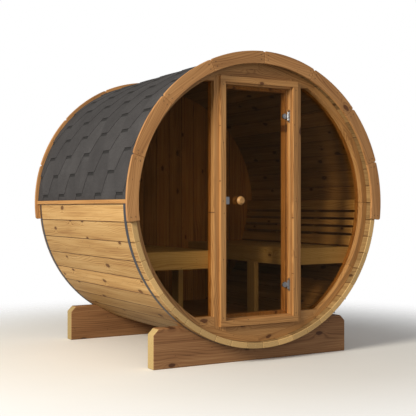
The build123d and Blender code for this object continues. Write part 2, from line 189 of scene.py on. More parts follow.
# %% The figure of a softwood board
def make_board_figure():
    group = bpy.data.node_groups.new("board figure", "ShaderNodeTree")
    face = group.interface
    face.new_socket("Place", in_out="INPUT", socket_type="NodeSocketVector")
    face.new_socket("Line spacing", in_out="INPUT", socket_type="NodeSocketFloat")
    face.new_socket("Knot size", in_out="INPUT", socket_type="NodeSocketFloat")
    for name in ("Figure", "Knot", "Halo", "Height"):
        face.new_socket(name, in_out="OUTPUT", socket_type="NodeSocketFloat")
    inside = group.nodes.new("NodeGroupInput").outputs
    out = group.nodes.new("NodeGroupOutput").inputs
    place = inside["Place"]

    # knots run straight through a board, so they are laid out flat, along and across it
    away, chance, present = knot_cells(group, place, 3.4, 7.0, 0.45)
    radius = maths(group, "MULTIPLY", inside["Knot size"], chance)
    uneven = maths(group, "SUBTRACT", along_board(group, place, 60, 60), 0.5)
    ragged = maths(group, "MULTIPLY", uneven, 0.05)
    reach = maths(group, "DIVIDE", maths(group, "ADD", away, ragged), radius)
    core = maths(group, "MULTIPLY", maths(group, "SUBTRACT", 1.25, reach), 3.5, clamp=True)
    knot = maths(group, "MULTIPLY", core, present)
    halo = maths(group, "MULTIPLY", maths(group, "SUBTRACT", 2.3, reach, clamp=True), present)
    fall = maths(group, "MULTIPLY", maths(group, "MULTIPLY", away, away), -22.0)
    push = maths(group, "MULTIPLY", maths(group, "POWER", 2.718, fall), present)

    # pin knots are small, many and without a halo
    pin_away, pin_chance, pin_here = knot_cells(group, place, 8.0, 17.0, 0.42)
    pin = maths(group, "DIVIDE", pin_away, maths(group, "MULTIPLY", pin_chance, 0.042))
    pin_core = maths(group, "MULTIPLY", maths(group, "SUBTRACT", 1.2, pin), 3.0, clamp=True)
    knot = maths(group, "MAXIMUM", knot, maths(group, "MULTIPLY", pin_core, pin_here))

    # growth lines wander with a slow noise, and bend round the knots
    parts = add_node(group, "ShaderNodeSeparateXYZ", {"Vector": place})
    across = maths(group, "ADD", parts.outputs[1], maths(group, "MULTIPLY", parts.outputs[2], 0.6))
    bend = maths(group, "MULTIPLY", along_board(group, place, 0.8, 4.5), 0.20)
    bend = maths(group, "ADD", bend, maths(group, "MULTIPLY", push, 0.035))
    line_place = maths(group, "DIVIDE", maths(group, "ADD", across, bend), inside["Line spacing"])
    wave = maths(group, "SINE", maths(group, "MULTIPLY", line_place, 6.283))
    wave = maths(group, "ADD", maths(group, "MULTIPLY", wave, 0.5), 0.5)
    strength = maths(group, "MULTIPLY", along_board(group, place, 1.1, 16), 1.1)
    lines = maths(group, "MULTIPLY", maths(group, "POWER", wave, 2.2), strength)

    # broad bands, streaks and fine fibres, all stretched along the board
    broad = along_board(group, place, 1.0, 13)
    streak = along_board(group, place, 2.2, 75, 3.0)
    fibre = along_board(group, place, 9.0, 330)
    figure = maths(group, "MULTIPLY", lines, 0.42)
    for part, weight in ((broad, 0.66), (streak, 0.74), (fibre, 0.24)):
        figure = maths(group, "ADD", figure, maths(group, "MULTIPLY", part, weight))
    height = maths(group, "SUBTRACT", maths(group, "MULTIPLY", fibre, 0.7), lines)
    group.links.new(maths(group, "SUBTRACT", figure, 0.54, clamp=True), out["Figure"])
    group.links.new(knot, out["Knot"])
    group.links.new(halo, out["Halo"])
    group.links.new(maths(group, "SUBTRACT", height, knot), out["Height"])
    return group


board_figure = make_board_figure()
print("group:", board_figure.name, "with", len(board_figure.nodes), "nodes")

# %% [markdown]
# ## Wood finishes
# Each wood is the same figure in other colours: a pale, a middle and a dark tone, and its knots.
# Two attributes of the mesh drive it. "grain" is the place within the board, and "tone" makes one
# board lighter than the next, as no two planks match.

# %% Make a wood
def make_wood(name, pale, middle, dark, spacing=0.011, knots=0.10, spread=0.22):
    material, tree, shader = start_material(name)
    inputs = {"Place": attribute(tree, "grain", "Vector"), "Line spacing": spacing, "Knot size": knots}
    figure = add_node(tree, "ShaderNodeGroup", inputs, node_tree=board_figure).outputs
    colour = colour_ramp(tree, figure["Figure"], ((0.06, pale), (0.38, middle), (0.74, dark)))
    halo_colour = tuple(c * 0.72 for c in middle)
    halo = maths(tree, "MULTIPLY", figure["Halo"], 0.45)
    colour = mix_colour(tree, halo, colour, (*halo_colour, 1))
    knot_colour = tuple(c * k for c, k in zip(middle, (0.30, 0.22, 0.17)))
    colour = mix_colour(tree, figure["Knot"], colour, (*knot_colour, 1))
    set_colour(tree, shader, vary_tone(tree, colour, spread))
    set_roughness(tree, shader, figure["Figure"], 0.49, 0.67)
    set_bump(tree, shader, figure["Height"], 0.25, 0.0008)
    return material


# %% [markdown]
# ## The woods of this sauna
# The staves are the palest outside, and darker inside, where the darkness is painted shade for the inside of
# the barrel. The joints are the same wood in shade. The front and the arches are oiled warmer, the cradles
# are browner, and the benches are bare and pale.

# %% Choose the woods
stave_wood = make_wood("stave_wood", (0.70, 0.46, 0.20), (0.56, 0.33, 0.118), (0.27, 0.11, 0.03), spread=0.4)
# the inner wood is the stave wood darkened: painted shade for the inside of the barrel
inner_shade_wood = make_wood("inner_shade_wood", (0.4, 0.25, 0.105), (0.28, 0.165, 0.06), (0.13, 0.063, 0.02), spread=0.5)
joint_wood = make_wood("joint_wood", (0.20, 0.105, 0.040), (0.14, 0.066, 0.024), (0.07, 0.030, 0.010))
arch_wood = make_wood("arch_wood", (0.56, 0.29, 0.110), (0.43, 0.205, 0.070), (0.23, 0.095, 0.028))
cradle_wood = make_wood(
    "cradle_wood", (0.40, 0.21, 0.090), (0.29, 0.135, 0.052), (0.15, 0.060, 0.020), knots=0.12, spacing=0.016
)
lath_wood = make_wood("lath_wood", (0.58, 0.31, 0.11), (0.47, 0.23, 0.070), (0.29, 0.13, 0.036), knots=0.07)
frame_wood = make_wood("frame_wood", (0.54, 0.29, 0.105), (0.41, 0.20, 0.064), (0.22, 0.094, 0.026))
# the backrests' wood is darker than the bench wood: painted shade, as little light reaches the backrests
backrest_shade_wood = make_wood("backrest_shade_wood", (0.60, 0.41, 0.18), (0.47, 0.30, 0.12), (0.27, 0.15, 0.052), knots=0.06)
bench_wood = make_wood("bench_wood", (0.72, 0.56, 0.28), (0.60, 0.44, 0.20), (0.42, 0.28, 0.11), knots=0.07)
rear_wood = make_wood(
    "rear_wood", (0.56, 0.30, 0.095), (0.41, 0.195, 0.056), (0.18, 0.072, 0.018), knots=0.075, spread=0.6
)
floor_wood = make_wood("floor_wood", (0.40, 0.23, 0.09), (0.29, 0.15, 0.055), (0.17, 0.08, 0.028))
knob_wood = make_wood("knob_wood", (0.47, 0.26, 0.095), (0.38, 0.195, 0.064), (0.27, 0.12, 0.034), knots=0.01)
print("woods made")

# %% [markdown]
# ## End grain
# Where a board is cut across, the growth rings show as arcs and the cut is paler than the planed
# side. The rings are drawn by the distance from the board's heart, which lies somewhere near it.

# %% Sawn ends
def make_end_grain(name, pale, dark):
    material, tree, shader = start_material(name)
    flat = stretch(tree, attribute(tree, "grain", "Vector"), (0, 1, 1))
    length = add_node(tree, "ShaderNodeVectorMath", {0: flat}, operation="LENGTH").outputs["Value"]
    wobble = maths(tree, "MULTIPLY", noise(tree, flat, 22.0), 0.05)
    ring = maths(tree, "SINE", maths(tree, "MULTIPLY", maths(tree, "ADD", length, wobble), 1250.0))
    ring = maths(tree, "ADD", maths(tree, "MULTIPLY", ring, 0.5), 0.5)
    speck = maths(tree, "MULTIPLY", noise(tree, flat, 700.0), 0.7)
    value = maths(tree, "ADD", maths(tree, "MULTIPLY", ring, 0.45), speck)
    colour = colour_ramp(tree, value, ((0.2, pale), (0.85, dark)))
    set_colour(tree, shader, vary_tone(tree, colour, 0.4))
    set_roughness(tree, shader, value, 0.62, 0.78)
    set_bump(tree, shader, value, 0.35, 0.0006)
    return material


stave_ends = make_end_grain("stave_ends", (0.80, 0.56, 0.26), (0.50, 0.29, 0.10))
cradle_ends = make_end_grain("cradle_ends", (0.66, 0.51, 0.24), (0.40, 0.26, 0.09))
print("end grain made")

# %% [markdown]
# ## Shingle finish
# The shingles are felt with mineral grit: soft noise for patches, fine cells for the grit, and a
# bump from the same cells. Each tab has a darker band printed where it meets the course above, which
# makes a thin roof look thicker. The attribute "up" is the height on the tab.

# %% Felt, grit and a printed band
COURSE = 0.1485
SHADOW_BAND = 0.022


def make_shingle():
    material, tree, shader = start_material("roof_shingles")
    place = object_place(tree)
    patches = noise(tree, place, 7.0, 4.0)
    grit = add_node(tree, "ShaderNodeTexVoronoi", {"Vector": place, "Scale": 420.0})
    speck = add_node(tree, "ShaderNodeSeparateColor", {"Color": grit.outputs["Color"]}).outputs[0]
    value = maths(tree, "MULTIPLY", speck, 0.55)
    value = maths(tree, "ADD", value, maths(tree, "MULTIPLY", patches, 0.35))
    value = maths(tree, "ADD", value, maths(tree, "MULTIPLY", attribute(tree, "tone"), 0.14))
    stops = ((0.15, (0.015, 0.014, 0.016)), (0.55, (0.038, 0.036, 0.040)), (1.0, (0.10, 0.098, 0.105)))
    uneven = maths(tree, "MULTIPLY", maths(tree, "SUBTRACT", patches, 0.5), 0.02)
    height = maths(tree, "ADD", attribute(tree, "up"), uneven)
    band = maths(tree, "MULTIPLY", maths(tree, "GREATER_THAN", height, 2 * COURSE - SHADOW_BAND), 0.82)
    colour = colour_ramp(tree, value, stops)
    set_colour(tree, shader, mix_colour(tree, band, colour, (0.008, 0.008, 0.009, 1)))
    set_roughness(tree, shader, speck, 0.78, 0.96)
    set_bump(tree, shader, grit.outputs["Distance"], 0.5, 0.0015)
    return material


roof_shingles = make_shingle()
print("finish:", roof_shingles.name)

# %% [markdown]
# ## Steel
# Satin steel is brushed one way. A noise that is squeezed hard along one axis gives fine scratches,
# and a broad one gives the marks of handling. Both change the colour and the gloss a little, and the
# scratches make the bump. The screws aren't brushed, so their noise is the same every way.

# %% Hoops, hinges and screws
def make_steel(name, colour, rough, scratch_scale):
    material, tree, shader = start_material(name)
    shader.inputs["Metallic"].default_value = 1.0
    place = object_place(tree)
    scratches = noise(tree, stretch(tree, place, scratch_scale), 1.0, 3.0)
    marks = maths(tree, "MULTIPLY", noise(tree, place, 9.0, 3.0), 0.5)
    value = maths(tree, "ADD", scratches, marks)
    dark = tuple(c * 0.72 for c in colour)
    set_colour(tree, shader, colour_ramp(tree, value, ((0.4, dark), (0.9, colour))))
    set_roughness(tree, shader, value, rough - 0.08, rough + 0.12, most=1.5)
    set_bump(tree, shader, scratches, 0.15, 0.0003)
    return material


hoop_steel = make_steel("hoop_steel", (0.24, 0.24, 0.27), 0.30, (40, 500, 40))
hinge_steel = make_steel("hinge_steel", (0.46, 0.47, 0.50), 0.30, (60, 60, 700))
screw_steel = make_steel("screw_steel", (0.09, 0.075, 0.06), 0.50, (300, 300, 300))
print("steels made")

# %% [markdown]
# ## Tinted glass
# A pane is a closed solid of glass that bends light and tints it. Glass alone would cast a dark
# shadow, because light can't find its way through two bent surfaces to the lamps. So shadow and
# diffuse rays pass straight through it with a tint, and daylight reaches the benches.

# %% The panes and the door leaf
GLASS_TINT = (0.80, 0.69, 0.52)


def make_glass(name):
    material, tree, shader = start_material(name)
    shader.inputs["Transmission Weight"].default_value = 1.0
    shader.inputs["Metallic"].default_value = 0.0
    shader.inputs["IOR"].default_value = 1.45
    shader.inputs["Specular Tint"].default_value = (0.22, 0.18, 0.12, 1)
    smear = noise(tree, object_place(tree), 3.5, 3.0)
    darker = tuple(c * 0.86 for c in GLASS_TINT)
    set_colour(tree, shader, colour_ramp(tree, smear, ((0.35, darker), (0.7, GLASS_TINT))))
    set_roughness(tree, shader, smear, 0.01, 0.05)
    thin = tuple(c ** 0.7 for c in GLASS_TINT)
    clear = add_node(tree, "ShaderNodeBsdfTransparent", {"Color": (*thin, 1)})
    path = tree.nodes.new("ShaderNodeLightPath").outputs
    daylight = maths(tree, "MAXIMUM", path["Is Shadow Ray"], path["Is Diffuse Ray"])
    chooser = add_node(tree, "ShaderNodeMixShader", {0: daylight, 1: shader.outputs[0], 2: clear.outputs[0]})
    tree.links.new(chooser.outputs[0], tree.nodes["Material Output"].inputs["Surface"])
    return material


pane_glass = make_glass("pane_glass")
leaf_glass = make_glass("leaf_glass")
print("glass made")

# %% [markdown]
# ## Plastic
# The magnetic catch sits in a small black moulding. Moulded plastic has a very fine even texture.

# %% The catch
def make_plastic():
    material, tree, shader = start_material("catch_plastic")
    fine = noise(tree, object_place(tree), 900.0)
    stops = ((0.3, (0.012, 0.012, 0.013)), (0.8, (0.03, 0.03, 0.03)))
    set_colour(tree, shader, colour_ramp(tree, fine, stops))
    set_roughness(tree, shader, fine, 0.4, 0.6)
    return material


catch_plastic = make_plastic()
print("finishes in all:", len(bpy.data.materials))

# %% [markdown]
# ## Turning solids into boards
# A loaded solid is loose triangles. A worked copy is merged, its flat sides are joined into single
# faces, and its sharp edges are bevelled, because a planed board always has a soft arris that
# catches the light. The copy is a bmesh, and the solid itself stays as it is.

# %% Copy a solid and soften its edges
def copy_of(name):
    work = bmesh.new()
    work.from_mesh(nodes[name].data)
    bmesh.ops.remove_doubles(work, verts=work.verts, dist=1e-5)
    bmesh.ops.dissolve_limit(
        work, angle_limit=math.radians(1), verts=work.verts, edges=work.edges, use_dissolve_boundaries=False
    )
    bmesh.ops.recalc_face_normals(work, faces=work.faces)
    return work


def soften(work, width, segments=2, angle=35):
    sharp = [e for e in work.edges if len(e.link_faces) == 2 and e.calc_face_angle(0) > math.radians(angle)]
    bmesh.ops.bevel(
        work, geom=sharp, offset=width, offset_type="OFFSET", affect="EDGES",
        segments=segments, profile=0.5, material=-1, clamp_overlap=True,
    )


# %% [markdown]
# ## Grain
# Each separate board gets its own stretch of grain and its own tone. The boards of one piece are
# found as islands, groups of vertices that edges join. The grain's direction is named by two axes,
# along the board and then through its thickness, or by "round" and "stave" for boards on the barrel.

# %% Lay the grain
def islands(work):
    left = set(work.verts)
    found = []
    for start in work.verts:
        if start not in left:
            continue
        left.discard(start)
        group, edge = [], [start]
        while edge:
            vert = edge.pop()
            group.append(vert)
            for link in vert.link_edges:
                other = link.other_vert(vert)
                if other in left:
                    left.discard(other)
                    edge.append(other)
        found.append(group)
    return found


def out_from_axis(place):
    return Vector((place.x, 0, place.z - AXIS_Z)).normalized()


def board_axes(middle, run):
    out = out_from_axis(middle)
    if run == "round":
        return out.cross(BACK), out, BACK
    if run == "stave":
        return BACK, out.cross(BACK), out
    along, deep = (WAYS[letter] for letter in run)
    return along, deep.cross(along), deep


def lay_grain(work, run, seed):
    grain = work.verts.layers.float_vector.new("grain")
    tone = work.verts.layers.float.new("tone")
    draw = random.Random(seed)
    for group in islands(work):
        middle = sum((v.co for v in group), Vector()) / len(group)
        along, across, deep = board_axes(middle, run)
        shift = Vector((draw.uniform(0, 30), draw.uniform(-0.2, 0.2), draw.uniform(0, 8)))
        lightness = draw.random()
        for vert in group:
            place = vert.co - middle
            vert[grain] = Vector((place.dot(along), place.dot(across), place.dot(deep))) + shift
            vert[tone] = lightness


# %% [markdown]
# ## Joints and finished pieces
# Where two boards meet, their bevels make a V that light hardly reaches. Those narrow faces lie at 45 degrees
# to the boards' sides, so they are found by that lean and get the joint's dark wood. A finished piece rides
# on its body and hides the plain solid that it stands for.

# %% Shade joints and finish a piece
def shade_joints(work, outward, run, index):
    for f in work.faces:
        lean = abs(f.normal.dot(outward(f)))
        if 0.4 < lean < 0.9 and abs(f.normal.dot(run)) < 0.3:
            f.material_index = index


def finish_piece(name, work, body, slot, *materials, stands_for=None, smooth=None):
    mesh = bpy.data.meshes.new(name)
    if smooth is not None:
        for f in work.faces:
            f.smooth = True
        for e in work.edges:
            e.smooth = len(e.link_faces) == 2 and e.calc_face_angle(0) < math.radians(smooth)
    work.to_mesh(mesh)
    work.free()
    for material in materials:
        mesh.materials.append(material)
    piece = bpy.data.objects.new(name, mesh)
    scene.collection.objects.link(piece)
    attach(piece, body)
    if stands_for:
        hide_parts(stands_for)
    print(f"{name}: {len(mesh.polygons)} faces")


def make_boards(name, source, run, slot, material, bevel, seed, smooth=None):
    boards = copy_of(source)
    soften(boards, bevel)
    lay_grain(boards, run, seed)
    finish_piece(name, boards, "sauna", slot, material, stands_for=source, smooth=smooth)


# %% [markdown]
# ## Working round the barrel
# Much of a barrel is one section carried round its axis. A section is a few points at a radius and a
# depth, placed at a turn measured from the top. Spinning it round the axis makes the solid.

# %% Spin a section round the axis
def point_round(radius, degrees, y):
    turn = math.radians(degrees)
    return Vector((radius * math.sin(turn), y, AXIS_Z + radius * math.cos(turn)))


def spin_section(work, section, start, degrees, steps):
    verts = [work.verts.new(point_round(radius, start, y)) for radius, y in section]
    face = work.faces.new(verts)
    bmesh.ops.spin(
        work, geom=[face], cent=AXIS, axis=BACK, dvec=Vector(), angle=math.radians(degrees),
        steps=steps, use_duplicate=False,
    )


def out_of_barrel(face):
    return out_from_axis(face.calc_center_median())


# %% [markdown]
# ## Staves
# Each barrel solid stands for eight staves. A stave is a narrow slice of a ring, so one rectangle is spun by
# a stave's angle, less a hair for the joint, and its edges are bevelled: neighbouring bevels make the V
# groove that is seen between planks. The cut ends get the end grain, and the faces towards the axis get the
# darker inner wood, which is painted shade.

# %% Spin the staves
STAVES = 48
STAVE_JOINT = 0.0007
STAVE_SECTION = (
    (STAVE_INNER_R, STAVE_FRONT), (STAVE_OUTER_R, STAVE_FRONT),
    (STAVE_OUTER_R, STAVE_BACK), (STAVE_INNER_R, STAVE_BACK),
)


def make_staves(number):
    staves = bmesh.new()
    step = 360 / STAVES
    joint = math.degrees(STAVE_JOINT / STAVE_OUTER_R)
    first = (number - 1.5) * 60
    for stave in range(8):
        spin_section(staves, STAVE_SECTION, first + stave * step + joint / 2, step - joint, 3)
    bmesh.ops.recalc_face_normals(staves, faces=staves.faces)
    soften(staves, 0.003, segments=1, angle=40)
    lay_grain(staves, "stave", 144 + number)
    for f in staves.faces:
        # faces towards the axis take the inner wood, which is painted shade
        inward = f.normal.dot(out_of_barrel(f)) < -0.5
        f.material_index = 1 if abs(f.normal.y) > 0.3 else 3 if inward else 0
    shade_joints(staves, out_of_barrel, BACK, 2)
    finish_piece(
        f"staves_{number}", staves, "sauna", "stave_wood", stave_wood, stave_ends, joint_wood, inner_shade_wood,
        stands_for=f"barrel_{number}", smooth=18,
    )


for number in range(1, 7):
    make_staves(number)

# %% [markdown]
# ## Arches and laths
# These solids already have their shape, so they are worked copies. An arch board is sawn from a
# straight plank: its grain runs straight along its chord, and turns from board to board.

# %% Boards over the ends and under the roof's edges
for end, seed in (("front", 3), ("rear", 4)):
    make_boards(f"arch_boards_{end}", f"arch_{end}", "round", "arch_wood", arch_wood, 0.003, seed, smooth=18)
make_boards("laths", "roof_laths", "YX", "lath_wood", lath_wood, 0.0025, 5)

# %% [markdown]
# ## Cradles
# A cradle is one heavy beam, sawn out to the barrel and chamfered at its upper corners. Its two ends
# and chamfers are cut across the grain, so they get end grain.

# %% Two beams
def make_cradle(end, seed):
    beam = copy_of(f"cradle_{end}")
    soften(beam, 0.005, angle=25)
    lay_grain(beam, "XY", seed)
    for f in beam.faces:
        f.material_index = 1 if abs(f.normal.x) > 0.6 and abs(f.calc_center_median().x) > 0.7 else 0
    finish_piece(
        f"cradle_beam_{end}", beam, "sauna", "cradle_wood", cradle_wood, cradle_ends,
        stands_for=f"cradle_{end}", smooth=18,
    )


make_cradle("front", 16)
make_cradle("rear", 7)

# %% [markdown]
# ## The ring round the glazed front
# The curved ring is several boards sawn to the barrel's curve. Its section has a groove for the
# pane, so that section is drawn once and spun for each board.

# %% Spin the ring
RING_INNER_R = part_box("upper_panel")[1].z - AXIS_Z
PANE_LOW, PANE_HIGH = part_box("window_right")
GROOVE_R = RING_INNER_R + 0.010
RING_BOARDS = 6
BOARD_JOINT = 0.05
RING_SECTION = (
    (RING_INNER_R, WALL_FACE), (STAVE_INNER_R, WALL_FACE),
    (STAVE_INNER_R, WALL_BACK), (RING_INNER_R, WALL_BACK),
    (RING_INNER_R, PANE_HIGH.y), (GROOVE_R, PANE_HIGH.y),
    (GROOVE_R, PANE_LOW.y), (RING_INNER_R, PANE_LOW.y),
)


def make_ring(side, first, seed):
    ring = bmesh.new()
    step = 180 / RING_BOARDS
    for board in range(RING_BOARDS):
        start = first + board * step + BOARD_JOINT / 2
        spin_section(ring, RING_SECTION, start, step - BOARD_JOINT, 10)
    bmesh.ops.recalc_face_normals(ring, faces=ring.faces)
    soften(ring, 0.002, angle=40)
    lay_grain(ring, "round", seed)
    finish_piece(
        f"ring_boards_{side}", ring, "sauna", "frame_wood", frame_wood,
        stands_for=f"front_ring_{side}", smooth=18,
    )


make_ring("left", -180, 20)
make_ring("right", 0, 21)

# %% [markdown]
# ## Posts, panels and trims
# These are straight boards, and their solids are copied. A post's or a side trim's grain runs up it,
# and that of a panel, the head and the sill runs across.

# %% Boards of the front wall
for seed, (name, source, run, bevel) in enumerate((
    ("front_post_left", "post_left", "ZY", 0.002),
    ("front_post_right", "post_right", "ZY", 0.002),
    ("panel_above_door", "upper_panel", "XY", 0.001),
    ("panel_under_door", "lower_panel", "XY", 0.001),
    ("panels_in_corners", "corner_panels", "XY", 0.001),
    ("trim_sides", "door_side_trims", "ZY", 0.002),
    ("trim_head", "door_head", "XY", 0.002),
    ("trim_sill", "door_sill", "XY", 0.002),
    ("door_rebate", "door_stop", "ZY", 0.002),
), start=30):
    make_boards(name, source, run, "frame_wood", frame_wood, bevel, seed)

# %% [markdown]
# ## Rear wall and floor
# Both are one plain solid each and are boards on the real thing. The solid is copied once for each
# board and cut down to it by two planes, and each cut is closed. The bevelled edges make the joint.

# %% Saw a solid into boards
SAW_GAP = 0.0008


def cut_away(work, place, outward):
    cut = bmesh.ops.bisect_plane(
        work, geom=[*work.verts, *work.edges, *work.faces], dist=1e-6,
        plane_co=place, plane_no=outward, clear_outer=True,
    )
    bmesh.ops.edgenet_fill(work, edges=[e for e in cut["geom_cut"] if isinstance(e, bmesh.types.BMEdge)])


def add_part(whole, part):
    holder = bpy.data.meshes.new("part")
    part.to_mesh(holder)
    part.free()
    whole.from_mesh(holder)
    bpy.data.meshes.remove(holder)


def saw_boards(name, source, run, count, face_way, slot, material, seed):
    low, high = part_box(source)
    width = (high.x - low.x) / count
    boards = bmesh.new()
    for number in range(count):
        board = copy_of(source)
        cut_away(board, ACROSS * (low.x + number * width + SAW_GAP / 2), -ACROSS)
        cut_away(board, ACROSS * (low.x + (number + 1) * width - SAW_GAP / 2), ACROSS)
        bmesh.ops.recalc_face_normals(board, faces=board.faces)
        soften(board, 0.0025, segments=1, angle=40)
        add_part(boards, board)
    lay_grain(boards, run, seed)
    shade_joints(boards, lambda f: face_way, WAYS[run[0]], 1)
    finish_piece(name, boards, "sauna", slot, material, joint_wood, stands_for=source)


saw_boards("rear_wall_boards", "rear_wall", "ZY", 16, BACK, "rear_wall_wood", rear_wood, 50)
saw_boards("floor_boards", "floor", "YZ", 8, UP, "floor_wood", floor_wood, 51)

# %% [markdown]
# ## Benches
# Bare pale boards, rounded a little more than those of the front wall, since people sit on them.
# Each solid is copied. The way that the grain runs differs, and the battens are of the slats' wood, which is
# darker than the benches' wood: painted shade for the backrests.

# %% Bench boards, legs and battens
seed = 60
for side in ("left", "right"):
    for name, source, run, wood in (
        ("seat_boards", f"bench_{side}_seat", "YZ", bench_wood),
        ("side_board", f"bench_{side}_side_board", "YX", bench_wood),
        ("cross_boards", f"bench_{side}_cross_boards", "XY", bench_wood),
        ("legs", f"bench_{side}_legs", "ZX", bench_wood),
        ("backrest_battens", f"backrest_{side}_battens", "round", backrest_shade_wood),
    ):
        seed += 1
        make_boards(f"{name}_{side}", source, run, "bench_wood", wood, 0.003, seed)

# %% [markdown]
# ## Backrest slats
# The slats stand apart, and their long edges are chamfered. The chamfers get the joints' painted shade, so
# that the gaps read as dark lines from across the cabin. The slats are of the darker backrest wood, which is
# painted shade too.

# %% Chamfer and shade the slats
def make_slats(side, seed):
    source = f"backrest_{side}_slats"
    slats = copy_of(source)
    soften(slats, 0.004, segments=1)
    lay_grain(slats, "YX", seed)
    shade_joints(slats, out_of_barrel, BACK, 1)
    finish_piece(
        f"backrest_slats_{side}", slats, "sauna", "bench_wood", backrest_shade_wood, joint_wood, stands_for=source
    )


make_slats("left", 75)
make_slats("right", 76)

# %% [markdown]
# ## One shingle tab
# A tab is shaped like half a hexagon below a plain strip. It is a flat outline, drawn on the YZ plane,
# and it is extruded to its thickness. It is bent to the roof later, with its whole row.

# %% Cut a tab
TAB_PITCH = 0.352
TAB_T = 0.0028
TAB_H = COURSE * 2.1
TAB_HALF = TAB_PITCH / 2 - 0.0004
TAB_FLAT = TAB_PITCH * 0.18
TAB_NOTCH = TAB_PITCH * 0.36
TAB_OUTLINE = (
    (-TAB_FLAT, 0), (TAB_FLAT, 0), (TAB_NOTCH, COURSE), (TAB_HALF, COURSE),
    (TAB_HALF, TAB_H), (-TAB_HALF, TAB_H), (-TAB_HALF, COURSE), (-TAB_NOTCH, COURSE),
)


def make_tab(row, along, tone_layer, lightness):
    verts = [row.verts.new((0, along + y, up)) for y, up in TAB_OUTLINE]
    face = row.faces.new(verts)
    grown = bmesh.ops.extrude_face_region(row, geom=[face])["geom"]
    raised = [v for v in grown if isinstance(v, bmesh.types.BMVert)]
    bmesh.ops.translate(row, verts=raised, vec=(TAB_T, 0, 0))
    for vert in verts + raised:
        vert[tone_layer] = lightness


# %% [markdown]
# ## Courses of shingles
# Each course covers the top of the one below, and is shifted by half a tab. A row of tabs is trimmed
# to the barrel's length, cut across a few times so that it can bend, and then wrapped round the
# barrel with its lower edge proud. Every vertex keeps its height on the tab for the printed band.

# %% Lay the courses
FIRST_TAB = 0.147
COURSE_RISE = 0.0061
UNDERLAY_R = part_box("hoop_front")[1].z - AXIS_Z + TAB_T + 0.0005
FIRST_COURSE = 86.4
COURSES = 10
BENDS = 7


def start_shingles():
    shingles = bmesh.new()
    return shingles, shingles.verts.layers.float.new("tone"), shingles.verts.layers.float.new("up")


def lay_course(roof, lower, shifted, draw):
    row, tone, height = start_shingles()
    start = STAVE_FRONT - TAB_PITCH + FIRST_TAB - (TAB_PITCH / 2 if shifted else 0)
    for tab in range(int((STAVE_BACK - STAVE_FRONT) / TAB_PITCH) + 3):
        make_tab(row, start + tab * TAB_PITCH, tone, draw.random())
    cut_away(row, BACK * (STAVE_FRONT + 0.001), -BACK)
    cut_away(row, BACK * (STAVE_BACK - 0.001), BACK)
    for bend in range(1, BENDS):
        bmesh.ops.bisect_plane(
            row, geom=[*row.verts, *row.edges, *row.faces], dist=1e-6,
            plane_co=UP * (TAB_H * bend / BENDS), plane_no=UP,
        )
    bmesh.ops.recalc_face_normals(row, faces=row.faces)
    for vert in row.verts:
        depth, y, up = vert.co
        vert[height] = up
        radius = UNDERLAY_R + COURSE_RISE * (1 - up / TAB_H) - TAB_T + depth
        vert.co = point_round(radius, lower - math.degrees(up / ROOF_OUTER_R), y)
    add_part(roof, row)


def make_roof(side, seed):
    roof = start_shingles()[0]
    draw = random.Random(seed)
    step = math.degrees(COURSE / ROOF_OUTER_R)
    for course in range(-2, COURSES):
        lay_course(roof, FIRST_COURSE - course * step, course % 2 == 1, draw)
    cut_away(roof, Vector(), -ACROSS)
    cut_away(roof, UP * (AXIS_Z + LATH_TOP + 0.001), -UP)
    if side == "left":
        bmesh.ops.transform(roof, matrix=Matrix.Scale(-1, 4, ACROSS), verts=roof.verts)
    bmesh.ops.recalc_face_normals(roof, faces=roof.faces)
    finish_piece(f"shingles_{side}", roof, "sauna", "roof_shingles", roof_shingles, stands_for=f"roof_{side}")


make_roof("right", 80)
make_roof("left", 81)

# %% [markdown]
# ## Ridge caps
# Where the two sides meet, short pieces are bent over the top. They are laid from front to back: each
# one covers the back end of the one before it, where the printed band shows as a dark line. One cap
# is a slanting section that is spun through a small angle.

# %% Cap the ridge
RIDGE_HALF_ANGLE = 8.5
RIDGE_CAP = 0.175
RIDGE_LAP = 1.4


def make_ridge():
    caps, tone, height = start_shingles()
    draw = random.Random(83)
    low_r = UNDERLAY_R + COURSE_RISE * 0.75
    for cap in range(round((STAVE_BACK - STAVE_FRONT) / RIDGE_CAP)):
        front = STAVE_FRONT + 0.002 + cap * RIDGE_CAP
        back = min(front + RIDGE_CAP * RIDGE_LAP, STAVE_BACK - 0.002)
        section = (
            (low_r + TAB_T, front), (low_r + 2 * TAB_T, front), (low_r + TAB_T, back), (low_r, back)
        )
        before = set(caps.verts)
        spin_section(caps, section, -RIDGE_HALF_ANGLE, 2 * RIDGE_HALF_ANGLE, 8)
        lightness = draw.random()
        for vert in set(caps.verts) - before:
            vert[tone] = lightness
            vert[height] = vert.co.y - front + 2 * COURSE - RIDGE_CAP
    bmesh.ops.recalc_face_normals(caps, faces=caps.faces)
    finish_piece("ridge_caps", caps, "sauna", "roof_shingles", roof_shingles)


make_ridge()

# %% [markdown]
# ## Metal and glass
# Metal parts have broken edges, and a pane has ground arrises: both catch a thin line of light. So
# they are worked copies too. What belongs to the door rides on the door's body.

# %% Finish the fittings
def make_fitting(name, source, body, slot, material, bevel):
    fitting = copy_of(source)
    soften(fitting, bevel, angle=50)
    finish_piece(name, fitting, body, slot, material, stands_for=source, smooth=18)


